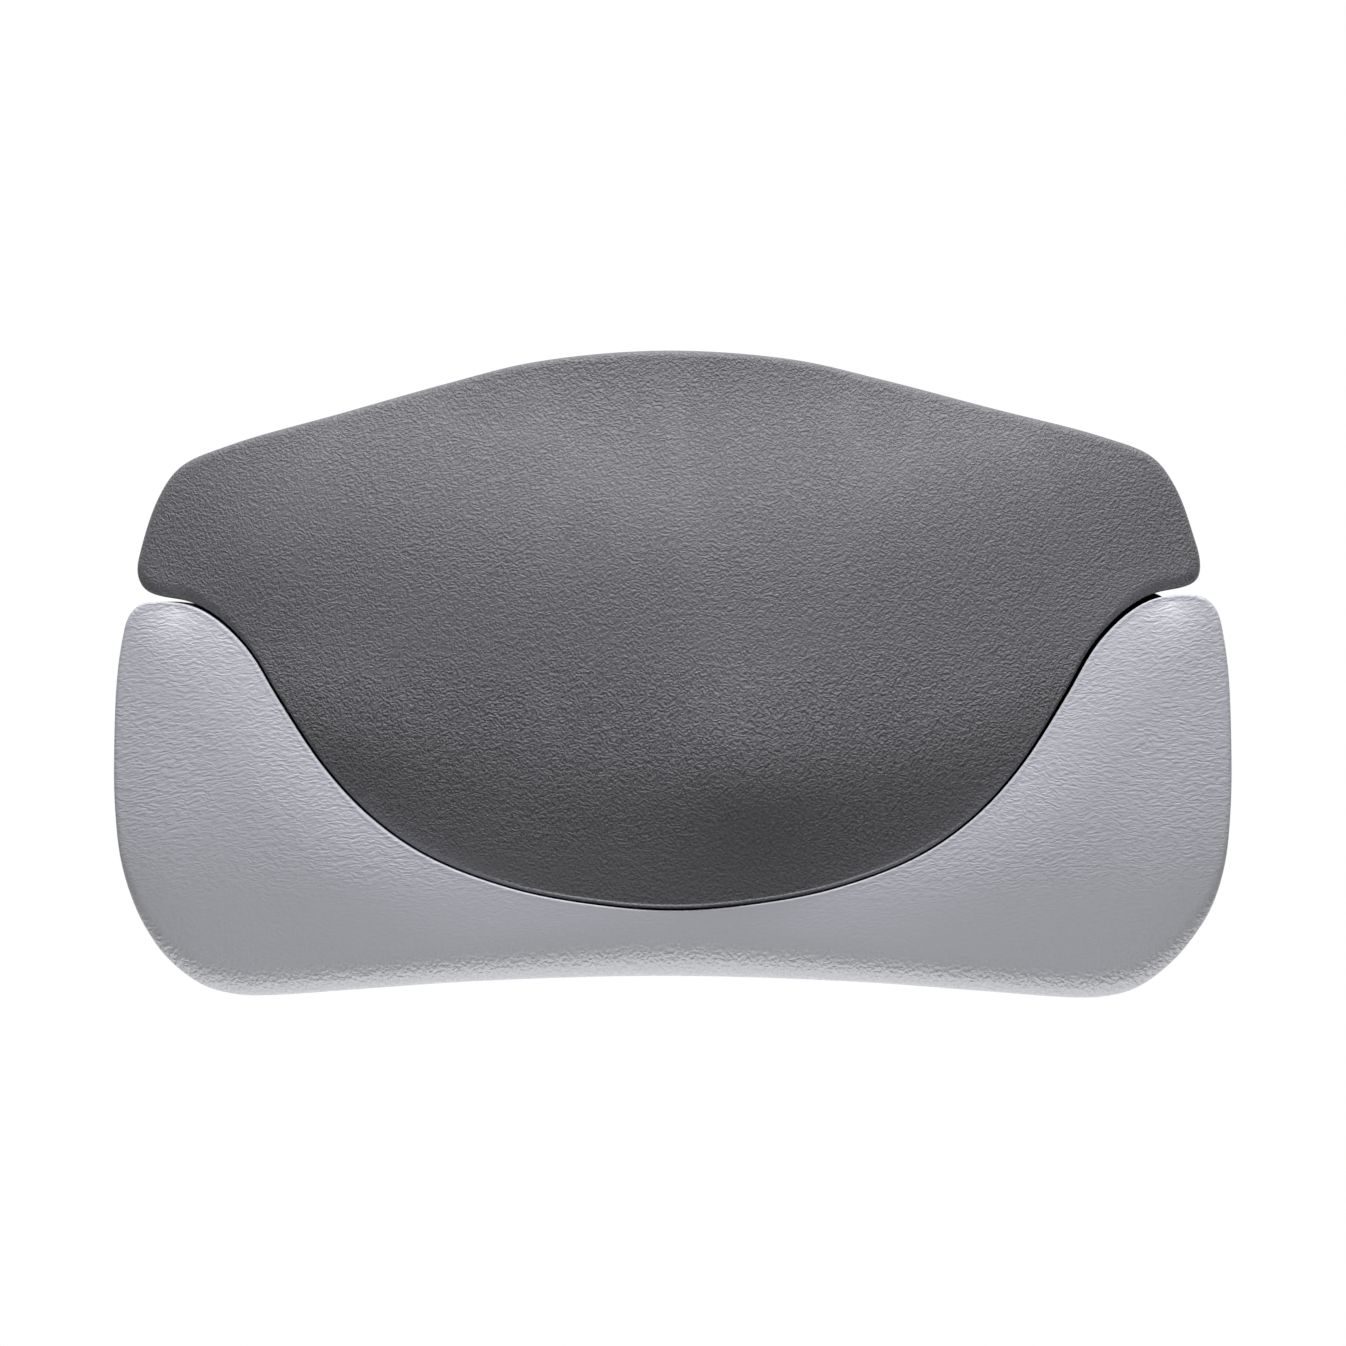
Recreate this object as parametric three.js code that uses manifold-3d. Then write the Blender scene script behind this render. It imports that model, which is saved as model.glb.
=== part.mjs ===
// Two-tone bath pillow: a domed head pad nested in a U-shaped neck pad, both
// screwed to one plastic carrier plate that hangs on four suction cups.
// Every piece is drawn lying on its back, in millimetres: x runs across the
// pillow, y runs up it, and z runs forward from the wall that the cups grip.
// The group at the end stands the whole pillow up.
import * as THREE from "three";
import { mergeVertices } from "three/addons/utils/BufferGeometryUtils.js";
import Module from "manifold-3d";

const wasm = await Module();
wasm.setup();

// Overall sizes, and how far the head pad stops short of the pillow's sides
// and of its bottom
const pillowWidth = 300;
const pillowHeight = 173.4;
const headPadSideInset = 7.2;
const headPadBottomInset = 23.7;

// Clearances
const seatGap = 0.3;
const seamGap = 0.6;
const earGap = 1.7;
const screwPlay = 0.4;
const overrun = 1;

// Head pad's face: its fullest thickness, the slopes of its planes, the heights
// and softness of the folds between them, how much higher the folds lie and how
// far the face falls back at the sides, and a low round swelling
const padThickness = 49;
const middleSlope = 0.05;
const middleFold = 20;
const middleSoftness = 6;
const lowerSlope = 0.28;
const lowerFold = -25;
const lowerSoftness = 8;
const upperSlope = 0.25;
const upperFold = 38;
const upperSoftness = 7;
const brimFold = 76;
const brimSoftness = 5;
const sideLift = 34;
const sideFall = 15.5;
const swellAside = 26;
const swellLevel = -22;
const swellRise = 2.8;
const swellSpread = 17;

// Neck pad's face: its thickness at the bottom middle, how the towers rise from
// there, the falls to the seam and to the outer edge, and the fold at its foot
const bandThickness = 36.4;
const towerRise = 4;
const towerRiseWidth = 70;
const seamDrop = 2.5;
const seamDropWidth = 22;
const outerDrop = 1;
const outerDropWidth = 16;
const footSlope = 0.17;
const footFold = -52;
const footSoftness = 9;

// Padding: skins, edges and stiff inserts
const coverThickness = 2.4;
const headEdgeRadius = 2;
const headSeamRadius = 0.8;
const neckEdgeRadius = 1.8;
const neckSeamRadius = 0.9;
const neckBottomRadius = 13.5;
const backEdgeRadius = 2;
const leastEdgeRadius = 0.6;
const insertThickness = 2.4;
const neckInsertOuterMargin = 6.5;
const neckInsertInnerMargin = 4;

// Suction cups
const cupRadius = 23;
const cupHeight = 9;
const cupLipWidth = 2;
const cupLipThickness = 0.9;
const cupHollowDepth = 5.6;
const cupNeckRadius = 4;
const cupShoulderRadius = 7;
const cupHeadRadius = 6.5;
const cupHeadThickness = 4.4;
const cupHeadRounding = 1.2;
const cupTabLength = 6;
const cupTabWidth = 8;
const cupTabThickness = 1.3;
const cupTabLift = 0.3;

// Carrier plate
const plateThickness = 2.5;
const rimHeight = 6.2;
const rimWall = 2.5;
const carrierCorner = 9;
const ribWall = 2;
const keyholeTravel = 13;
const keyholePlay = 1;
const drainRadius = 3;

// Self-tapping screws and what they go through
const screwHeadRadius = 3.5;
const screwHeadThickness = 2.4;
const screwHeadRounding = 0.8;
const screwShankRadius = 1.7;
const screwShankLength = 16;
const screwTipLength = 2;
const screwSink = 0.3;
const recessWidth = 0.9;
const recessSpan = 4;
const recessDepth = 1.3;
const counterboreWall = 2;
const insertBossRadius = 4.5;
const insertBossCap = 2;

// Counts
const headStations = 28;
const frontSteps = 3;
const headInnerSteps = 3;
const neckInnerSteps = 2;
const curveDivisions = 20;
const cornerSteps = 8;
const cupSides = 20;
const screwSides = 12;
const holeSides = 32;

// Depths from the wall, worked out from the stack of pieces
const plateBack = cupHeight + seatGap;
const plateFront = plateBack + plateThickness;
const rimFront = plateFront + rimHeight;
const padBack = rimFront + seatGap;
const foamBack = padBack + Math.max(coverThickness, insertThickness) + seatGap;
const cupHeadBack = plateFront + seatGap;
const screwHeadBack = plateBack + screwSink;
const screwHeadFront = screwHeadBack + screwHeadThickness;
const screwTip = screwHeadFront + screwShankLength;
const screwHoleRadius = screwShankRadius + screwPlay;
const counterboreRadius = screwHeadRadius + screwPlay;
const carrierBossRadius = counterboreRadius + counterboreWall;

// Heights up the wall, from the middle of the pillow
const pillowTop = pillowHeight / 2;
const pillowBottom = -pillowHeight / 2;
const headPadBottom = pillowBottom + headPadBottomInset;
const headPadWidth = pillowWidth - 2 * headPadSideInset;
const headPadHeight = pillowTop - headPadBottom;

// Right half of the head pad's outline, from the ear's tip over the top and
// then under the ear to the bottom: shares of half its width and of its height
const headUpperShares = [
  [0.991, 0.6585], [0.957, 0.7492], [0.915, 0.8026], [0.819, 0.8398], [0.613, 0.8922],
  [0.406, 0.9456], [0.243, 0.9819],
];
const headLowerShares = [
  [0.991, 0.587], [0.966, 0.5759], [0.902, 0.5638], [0.85, 0.5356], [0.791, 0.4752],
  [0.737, 0.3845], [0.653, 0.2576], [0.567, 0.1669], [0.46, 0.0954], [0.294, 0.036],
  [0.128, 0.0078],
];
const earTipShare = 0.6182;

// Right half of the neck pad's outer edge, from the bottom middle up to the
// tower's top: shares of half the pillow's width and of the tower's height
const neckOuterShares = [
  [0.346, 0.038], [0.561, 0.018], [0.722, 0], [0.776, 0.002], [0.833, 0.026],
  [0.898, 0.089], [0.94, 0.159], [0.967, 0.231], [0.989, 0.337], [0.999, 0.478],
  [1, 0.61], [0.995, 0.798], [0.985, 0.904], [0.974, 0.963], [0.953, 0.995],
  [0.925, 1.003],
];
const neckArchShare = 0.051;

// Where the neck pad's inner edge follows the head pad's lower edge: shares of
// that edge's half length, from the ear's tip to the bottom middle
const seamShares = [0.078, 0.11, 0.15, 0.19, 0.24, 0.33, 0.43, 0.54, 0.66, 0.78, 0.9];

// Stations along each half of the neck pad, from the bottom middle to the
// tower's top, closer together round the corners
const neckStationShares = [
  0, 0.11, 0.22, 0.33, 0.4, 0.445, 0.485, 0.52, 0.56, 0.605, 0.67, 0.755, 0.84,
  0.905, 0.945, 0.97, 0.986, 1,
];
const neckInsertEnds = 4;

// Right halves of the head pad's insert, in shares of half the head pad's
// width and of its height, and of the carrier, in shares of half the pillow's
// width and of its height, both from the top down
const headInsertShares = [
  [0, 0.863], [0.644, 0.717], [0.7, 0.597], [0.588, 0.372], [0.35, 0.133], [0, 0.08],
];
const carrierShares = [
  [0, 0.392], [0.4, 0.346], [0.693, 0.254], [0.793, 0.173], [0.813, 0.135],
  [0.872, 0.124], [0.893, 0.104], [0.927, 0.069], [0.933, -0.3], [0.85, -0.432],
  [0.4, -0.45], [0, -0.446],
];

// Places on the carrier, in shares of half the pillow's width and its height
const cupAcrossShare = 0.533;
const cupHeightShares = { upper: 0.173, lower: -0.147 };
const drainShares = [[0, -0.402], [-0.6, -0.37], [0.6, -0.37]];
const uprightRibShares = [-0.687, -0.3, 0.3, 0.687];
const crossRibShare = -0.029;

// Profile of a suction cup's dome, in shares of the radius inside its lip and
// of the depth of its hollow, from the middle out, or of its height, from the
// lip in
const cupHollowShares = [[0.3, 0.98], [0.55, 0.8], [0.8, 0.4]];
const cupDomeShares = [[0.85, 0.44], [0.6, 0.78]];

// Screws: two pairs in the head pad, in shares of half its width and of its
// height, and two pairs in the neck pad, by its station
const headScrewShares = [[0.245, 0.77], [0.245, 0.226]];
const neckScrewStations = [2, 11];

const headSkin = new THREE.MeshStandardMaterial({ color: "#6b6a70", roughness: 0.62, metalness: 0 });
const neckSkin = new THREE.MeshStandardMaterial({ color: "#b2b4bf", roughness: 0.62, metalness: 0 });
const foam = new THREE.MeshStandardMaterial({ color: "#d9d6cc", roughness: 0.95, metalness: 0 });
const insertPlastic = new THREE.MeshStandardMaterial({ color: "#8c8f92", roughness: 0.6, metalness: 0 });
const carrierPlastic = new THREE.MeshStandardMaterial({ color: "#17181a", roughness: 0.55, metalness: 0 });
const cupVinyl = new THREE.MeshStandardMaterial({ color: "#c9d0d2", roughness: 0.2, metalness: 0 });
const screwSteel = new THREE.MeshStandardMaterial({ color: "#9a9da0", roughness: 0.35, metalness: 1 });

// A closed geometry as a solid, with its shared corners merged and the flat
// slivers at poles left out
function solidOf(geometry) {
  const bare = geometry.clone();
  bare.deleteAttribute("normal");
  bare.deleteAttribute("uv");
  const merged = mergeVertices(bare);
  const corners = merged.index.array;
  const kept = [];
  for (let at = 0; at < corners.length; at += 3) {
    const [a, b, c] = [corners[at], corners[at + 1], corners[at + 2]];
    if (a !== b && b !== c && c !== a) kept.push(a, b, c);
  }
  return new wasm.Manifold(
    new wasm.Mesh({
      numProp: 3,
      vertProperties: new Float32Array(merged.attributes.position.array),
      triVerts: new Uint32Array(kept),
    }),
  );
}

function meshOf(name, solid, material) {
  const { vertProperties, triVerts } = solid.getMesh();
  const geometry = new THREE.BufferGeometry();
  geometry.setAttribute("position", new THREE.BufferAttribute(vertProperties, 3));
  geometry.setIndex(new THREE.BufferAttribute(triVerts, 1));
  geometry.computeVertexNormals();
  const mesh = new THREE.Mesh(geometry, material);
  mesh.name = name;
  return mesh;
}

// A flat shape, or a list of its points, given depth from back to front
function prism(outline, back, front) {
  const shape = Array.isArray(outline) ? new THREE.Shape(outline) : outline;
  const options = { depth: front - back, bevelEnabled: false, curveSegments: cornerSteps };
  return solidOf(new THREE.ExtrudeGeometry(shape, options).translate(0, 0, back));
}

function rod(place, radius, back, front, sides = holeSides) {
  const geometry = new THREE.CylinderGeometry(radius, radius, front - back, sides);
  geometry.rotateX(Math.PI / 2).translate(place.x, place.y, (back + front) / 2);
  return solidOf(geometry);
}

function block(low, high) {
  const size = high.clone().sub(low);
  const middle = low.clone().add(high).multiplyScalar(0.5);
  const geometry = new THREE.BoxGeometry(size.x, size.y, size.z);
  return solidOf(geometry.translate(middle.x, middle.y, middle.z));
}

// A profile of radius and depth turned about an axis that runs forward
function turned(profile, sides) {
  const points = profile.map(([radius, depth]) => new THREE.Vector2(radius, depth));
  return solidOf(new THREE.LatheGeometry(points, sides).rotateX(Math.PI / 2));
}

// Points given for the right half, from the top down, run on up the left half.
// The whole runs anticlockwise, as the solids need.
function bothHalves(rightHalf) {
  const leftHalf = rightHalf.filter((point) => point.x > 0).map(mirrored);
  return [...rightHalf, ...leftHalf.reverse()].reverse();
}

// An outline moved outwards by a distance, or inwards by a negative one, with
// its corners kept sharp
function offsetOutline(points, distance) {
  const count = points.length;
  const outward = points.map((point, at) => {
    const along = points[(at + 1) % count].clone().sub(point).normalize();
    return new THREE.Vector2(along.y, -along.x);
  });
  return points.map((point, at) => {
    const before = outward[(at + count - 1) % count];
    const after = outward[at];
    const reach = distance / (1 + before.dot(after));
    return point.clone().addScaledVector(before.clone().add(after), reach);
  });
}

// An outline with each corner rounded, by no more than half of either side
function roundedShape(points, cornerLength) {
  const shape = new THREE.Shape();
  const count = points.length;
  const towards = (corner, other) => {
    const side = other.clone().sub(corner);
    return corner.clone().add(side.setLength(Math.min(cornerLength, side.length() / 2)));
  };
  points.forEach((corner, at) => {
    const start = towards(corner, points[(at + count - 1) % count]);
    const end = towards(corner, points[(at + 1) % count]);
    if (at === 0) shape.moveTo(start.x, start.y);
    else shape.lineTo(start.x, start.y);
    shape.quadraticCurveTo(corner.x, corner.y, end.x, end.y);
  });
  return shape;
}

function headPoint([acrossShare, upShare]) {
  return new THREE.Vector2((acrossShare * headPadWidth) / 2, headPadBottom + upShare * headPadHeight);
}

function carrierPoint([acrossShare, upShare]) {
  return new THREE.Vector2((acrossShare * pillowWidth) / 2, upShare * pillowHeight);
}

function mirrored(point) {
  return new THREE.Vector2(-point.x, point.y);
}

// A smooth closed curve through an outline's points
function closedCurve(points) {
  const inSpace = points.map((point) => new THREE.Vector3(point.x, point.y, 0));
  const curve = new THREE.CatmullRomCurve3(inSpace, true);
  curve.arcLengthDivisions = points.length * curveDivisions;
  return curve;
}

// Share of the curve's length that lies before one of its own points
function lengthShareAt(curve, pointAt) {
  const lengths = curve.getLengths();
  return lengths[pointAt * curveDivisions] / lengths[lengths.length - 1];
}

// The head pad's outline runs anticlockwise from the right ear's tip
function headOutline() {
  const rightTip = headPoint([1, earTipShare]);
  const upper = headUpperShares.map(headPoint);
  const lower = headLowerShares.map(headPoint);
  const points = [
    rightTip,
    ...upper,
    headPoint([0, 1]),
    ...upper.map(mirrored).reverse(),
    mirrored(rightTip),
    ...lower.map(mirrored),
    headPoint([0, 0]),
    ...lower.slice().reverse(),
  ];
  const farTip = 2 * upper.length + 2;
  return { curve: closedCurve(points), farTip };
}

const headEdge = headOutline();
const headFarShare = lengthShareAt(headEdge.curve, headEdge.farTip);

// A point of the seam: the head pad's lower edge, moved out by a gap that
// widens from the bottom middle towards the ear
function seamPoint(share) {
  const along = 1 - (share * (1 - headFarShare)) / 2;
  const point = headEdge.curve.getPointAt(along);
  const tangent = headEdge.curve.getTangentAt(along);
  const gap = seamGap + (earGap - seamGap) * (1 - share) ** 3;
  return new THREE.Vector2(point.x + tangent.y * gap, point.y - tangent.x * gap);
}

// The neck pad's outline runs anticlockwise from the left tower's top
function neckOutline() {
  const seam = seamShares.map(seamPoint);
  const towerTop = seam[0];
  const towerHeight = towerTop.y - pillowBottom;
  const place = ([acrossShare, upShare]) =>
    new THREE.Vector2((acrossShare * pillowWidth) / 2, pillowBottom + upShare * towerHeight);
  const outer = neckOuterShares.map(place);
  const inner = seam.slice(1);
  const points = [
    mirrored(towerTop),
    ...outer.map(mirrored).reverse(),
    place([0, neckArchShare]),
    ...outer,
    towerTop,
    ...inner,
    seamPoint(1),
    ...inner.map(mirrored).reverse(),
  ];
  const farTip = 2 * outer.length + 2;
  return { curve: closedCurve(points), farTip, towerTop };
}

const neckEdge = neckOutline();

// Nothing before a fold line and the distance past it beyond, bent softly
function softFold(past, softness) {
  return softness * Math.log1p(Math.exp(past / softness));
}

// The head pad's face: nearly flat planes that meet in soft folds, fullest
// behind the neck, with a brim that levels out along the top. As the square of
// the way out, the folds lie higher and the whole face falls back.
function headFace(point) {
  const out = (point.x / (headPadWidth / 2)) ** 2;
  const up = point.y - sideLift * out;
  const middle = middleSlope * softFold(middleFold - up, middleSoftness);
  const lower = lowerSlope * softFold(lowerFold - up, lowerSoftness);
  const pastUpper = softFold(up - upperFold, upperSoftness);
  const upper = upperSlope * (pastUpper - softFold(up - brimFold, brimSoftness));
  const away = Math.hypot(point.x - swellAside, point.y - swellLevel) / swellSpread;
  const swell = swellRise * Math.exp(-(away ** 2) / 2);
  return padBack + padThickness - middle - lower - upper - sideFall * out + swell;
}

// The neck pad's face: two towers that rise from the band between them, fall a
// little to the seam and to the outer edge, and stand on a foot that falls back
function neckFace(point, width, acrossShare) {
  const tower = 1 - Math.exp(-((point.x / towerRiseWidth) ** 2));
  const foot = footSlope * softFold(footFold - point.y, footSoftness);
  const toSeam = Math.max(0, 1 - (acrossShare * width) / seamDropWidth) ** 2;
  const toOutside = Math.max(0, 1 - ((1 - acrossShare) * width) / outerDropWidth) ** 2;
  const raised = tower * (towerRise - seamDrop * toSeam);
  return padBack + bandThickness + raised - foot - outerDrop * toOutside;
}

// A pad is a strip between two edges that meet at both tips. Its loop of spots
// runs out along one edge and back along the other, and each spot knows its
// inward direction, the pad's width and the rounding of the front edge there.
function padOf(edge, stationShares, radiusAt, face, innerSteps) {
  const { curve, farTip } = edge;
  const farShare = lengthShareAt(curve, farTip);
  const last = stationShares.length - 1;
  const spotAt = (along, isOuter) => {
    const point = curve.getPointAt(along);
    const tangent = curve.getTangentAt(along);
    const inward = new THREE.Vector2(-tangent.y, tangent.x);
    return { point: new THREE.Vector2(point.x, point.y), inward, isOuter, radius: radiusAt(inward, isOuter) };
  };
  const outerSpots = stationShares.map((share) => spotAt(share * farShare, true));
  const innerSpots = stationShares.map((share) => spotAt(1 - share * (1 - farShare), false));
  const widths = stationShares.map((share, at) => innerSpots[at].point.distanceTo(outerSpots[at].point));
  const loop = [];
  for (let at = 0; at <= last; at += 1) loop.push({ ...outerSpots[at], width: widths[at] });
  for (let at = last - 1; at > 0; at -= 1) loop.push({ ...innerSpots[at], width: widths[at] });
  return { loop, last, face, innerSteps };
}

// The pad's closed surface, drawn in from its outline and its face by an inset.
// Rings of points run from the middle of the back out to the side, round the
// front edge and in to the spine, where the two edges' rings meet.
function padSolid(pad, inset, back) {
  const { loop, last, face, innerSteps } = pad;
  const count = loop.length;
  const partner = (at) => (count - at) % count;
  const drawnIn = (spot, inward) => spot.point.clone().addScaledVector(spot.inward, inset + inward);
  const radii = loop.map((spot) => Math.max(spot.radius - inset, leastEdgeRadius));
  const fronts = loop.map((spot, at) => drawnIn(spot, radii[at]));
  const spine = fronts.map((point, at) => point.clone().add(fronts[partner(at)]).multiplyScalar(0.5));
  const edgeShares = loop.map((spot, at) =>
    Math.min((inset + radii[at]) / Math.max(spot.width, leastEdgeRadius), 0.5),
  );
  const acrossAt = (at, share) => (loop[at].isOuter ? 1 - share : share);
  const spineAcross = loop.map((spot, at) => {
    const other = partner(at);
    const isTip = other === at;
    return isTip ? 0.5 : (acrossAt(at, edgeShares[at]) + acrossAt(other, edgeShares[other])) / 2;
  });
  const depthAt = (at, point, across) => face(point, loop[at].width, across) - inset;
  const backRadius = Math.max(backEdgeRadius - inset, 0);
  const flatRing = (points, depth) => points.map((point) => [point.x, point.y, depth]);
  const rings = [];
  rings.push({ kind: "spine", points: flatRing(spine, back) });
  if (backRadius > 0) {
    rings.push({ kind: "edge", points: flatRing(loop.map((spot) => drawnIn(spot, backRadius)), back) });
  }
  rings.push({ kind: "edge", points: flatRing(loop.map((spot) => drawnIn(spot, 0)), back + backRadius) });
  for (let step = 0; step <= frontSteps; step += 1) {
    const turn = (Math.PI / 2) * (step / frontSteps);
    const points = loop.map((spot, at) => {
      const inward = radii[at] * (1 - Math.cos(turn));
      const point = drawnIn(spot, inward);
      const share = edgeShares[at] * ((inset + inward) / (inset + radii[at]));
      const full = depthAt(at, point, acrossAt(at, share));
      return [point.x, point.y, full - radii[at] * (1 - Math.sin(turn))];
    });
    rings.push({ kind: "edge", points });
  }
  for (let step = 1; step <= innerSteps + 1; step += 1) {
    const share = step / (innerSteps + 1);
    const points = loop.map((spot, at) => {
      const point = fronts[at].clone().lerp(spine[at], share);
      const across = THREE.MathUtils.lerp(acrossAt(at, edgeShares[at]), spineAcross[at], share);
      return [point.x, point.y, depthAt(at, point, across)];
    });
    rings.push({ kind: step > innerSteps ? "spine" : "inner", points });
  }
  return solidOf(ringSurface(rings, count, last));
}

// Joins rings of points into one closed surface. On a spine the two edges share
// their points, and at a tip all the rings of the face share one point.
function ringSurface(rings, count, last) {
  const lastRing = rings.length - 1;
  const numberOf = (ring, at) => {
    const around = at % count;
    const isTip = around === 0 || around === last;
    const onRing = rings[ring].kind === "inner" && isTip ? lastRing : ring;
    const onLoop = rings[onRing].kind === "spine" && around > last ? count - around : around;
    return onRing * count + onLoop;
  };
  const triangles = [];
  for (let ring = 0; ring < lastRing; ring += 1) {
    for (let at = 0; at < count; at += 1) {
      const [a, b] = [numberOf(ring, at), numberOf(ring, at + 1)];
      const [c, d] = [numberOf(ring + 1, at + 1), numberOf(ring + 1, at)];
      triangles.push(a, b, c, a, c, d);
    }
  }
  const geometry = new THREE.BufferGeometry();
  const positions = rings.flatMap((ring) => ring.points.flat());
  geometry.setAttribute("position", new THREE.Float32BufferAttribute(positions, 3));
  geometry.setIndex(triangles);
  return geometry;
}

const headStationShares = Array.from({ length: headStations + 1 }, (unused, at) =>
  (1 - Math.cos((Math.PI * at) / headStations)) / 2,
);
const headRadiusAt = (inward, isOuter) => (isOuter ? headEdgeRadius : headSeamRadius);
const headPad = padOf(headEdge, headStationShares, headRadiusAt, headFace, headInnerSteps);

const neckWholeShares = [
  ...neckStationShares.slice(1).reverse().map((share) => (1 - share) / 2),
  ...neckStationShares.map((share) => (1 + share) / 2),
];
const neckRadiusAt = (inward, isOuter) => {
  if (!isOuter) return neckSeamRadius;
  return neckEdgeRadius + (neckBottomRadius - neckEdgeRadius) * Math.max(0, inward.y) ** 2;
};
const neckPad = padOf(neckEdge, neckWholeShares, neckRadiusAt, neckFace, neckInnerSteps);

// The head pad's insert is a broad plate, the neck pad's a U-shaped strip that
// keeps a margin to each of the pad's edges and stops short of its tips
function headInsertOutline() {
  return bothHalves(headInsertShares.map(headPoint));
}

function neckInsertEdge(spot) {
  const margin = spot.isOuter ? neckInsertOuterMargin : neckInsertInnerMargin;
  return spot.point.clone().addScaledVector(spot.inward, margin);
}

function neckInsertOutline() {
  const { loop, last } = neckPad;
  const outer = loop.slice(neckInsertEnds, last - neckInsertEnds + 1);
  const inner = loop.slice(last + neckInsertEnds, loop.length - neckInsertEnds + 1);
  return [...outer, ...inner].map(neckInsertEdge);
}

function headScrewPlaces() {
  return headScrewShares.map(headPoint).flatMap((place) => [mirrored(place), place]);
}

// Screws of the neck pad stand midway between its insert's two edges, at
// stations counted from the bottom middle
function neckScrewPlaces() {
  const { loop, last } = neckPad;
  return neckScrewStations.flatMap((station) => {
    const at = last / 2 + station;
    const outer = neckInsertEdge(loop[at]);
    const inner = neckInsertEdge(loop[loop.length - at]);
    const place = outer.add(inner).multiplyScalar(0.5);
    return [mirrored(place), place];
  });
}

const bossFront = screwTip + screwPlay + insertBossCap;

// Moulded skin round the foam, turned in at the back as far as the insert and
// its screw bosses
function coverSolid(pad, insertOutline, places) {
  const hollow = padSolid(pad, coverThickness, padBack + coverThickness);
  const edge = offsetOutline(insertOutline, seatGap);
  const [back, front] = [padBack - overrun, padBack + coverThickness + overrun];
  const opening = places.reduce(
    (solid, place) => solid.add(rod(place, insertBossRadius + seatGap, back, front)),
    prism(edge, back, front),
  );
  return padSolid(pad, 0, padBack).subtract(hollow).subtract(opening);
}

// Soft core, with a socket for each of the insert's screw bosses
function foamSolid(pad, places) {
  const sockets = places.map((place) =>
    rod(place, insertBossRadius + screwPlay, foamBack - overrun, bossFront + screwPlay),
  );
  const core = padSolid(pad, coverThickness + seatGap, foamBack);
  return sockets.reduce((solid, socket) => solid.subtract(socket), core);
}

// Stiff plate on the foam's back, with blind bosses that the screws bite into
function insertSolid(outline, places) {
  const plate = prism(outline, padBack, padBack + insertThickness);
  const bossed = places.reduce(
    (solid, place) => solid.add(rod(place, insertBossRadius, padBack, bossFront)),
    plate,
  );
  const holeFront = screwTip + screwPlay;
  return places.reduce(
    (solid, place) => solid.subtract(rod(place, screwHoleRadius, padBack - overrun, holeFront, screwSides)),
    bossed,
  );
}

// Slot that a cup's neck slides along, with a round entry for its head at the
// end nearer the pillow's middle
function keyhole(place) {
  const inward = -Math.sign(place.x);
  const entry = place.clone().setX(place.x + inward * keyholeTravel);
  const back = plateBack - overrun;
  const front = plateFront + overrun;
  const slotHalf = cupNeckRadius + screwPlay;
  const low = new THREE.Vector3(Math.min(place.x, entry.x), place.y - slotHalf, back);
  const high = new THREE.Vector3(Math.max(place.x, entry.x), place.y + slotHalf, front);
  return rod(entry, cupHeadRadius + keyholePlay, back, front)
    .add(rod(place, slotHalf, back, front))
    .add(block(low, high));
}

function cupPlaces() {
  const places = [];
  for (const [level, heightShare] of Object.entries(cupHeightShares)) {
    for (const side of [-1, 1]) {
      const place = carrierPoint([side * cupAcrossShare, heightShare]);
      places.push({ name: `cup_${level}_${side < 0 ? "left" : "right"}`, place });
    }
  }
  return places;
}

// Shallow tray: floor, rim, ribs and a boss round each screw
function carrierSolid(screwPlaces) {
  const outline = bothHalves(carrierShares.map(carrierPoint));
  const outside = roundedShape(outline, carrierCorner);
  const inside = roundedShape(offsetOutline(outline, -rimWall), carrierCorner);
  const midFloor = plateBack + plateThickness / 2;
  const reach = new THREE.Vector2(pillowWidth, pillowHeight);
  const ribs = uprightRibShares.map((share) => {
    const { x } = carrierPoint([share, 0]);
    const low = new THREE.Vector3(x - ribWall / 2, -reach.y, midFloor);
    return block(low, new THREE.Vector3(x + ribWall / 2, reach.y, rimFront));
  });
  const { y } = carrierPoint([0, crossRibShare]);
  const low = new THREE.Vector3(-reach.x, y - ribWall / 2, midFloor);
  ribs.push(block(low, new THREE.Vector3(reach.x, y + ribWall / 2, rimFront)));
  const ribWeb = ribs.reduce((solid, rib) => solid.add(rib)).intersect(prism(outside, plateBack, rimFront));
  let solid = prism(outside, plateBack, rimFront)
    .subtract(prism(inside, plateFront, rimFront + overrun))
    .add(ribWeb);
  for (const place of screwPlaces) solid = solid.add(rod(place, carrierBossRadius, midFloor, rimFront));
  for (const place of screwPlaces) {
    const counterbore = rod(place, counterboreRadius, plateBack - overrun, screwHeadFront + seatGap);
    const hole = rod(place, screwHoleRadius, plateBack, rimFront + overrun, screwSides);
    solid = solid.subtract(counterbore).subtract(hole);
  }
  for (const { place } of cupPlaces()) solid = solid.subtract(keyhole(place));
  for (const place of drainShares.map(carrierPoint)) {
    solid = solid.subtract(rod(place, drainRadius, plateBack - overrun, plateFront + overrun));
  }
  return solid;
}

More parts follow.
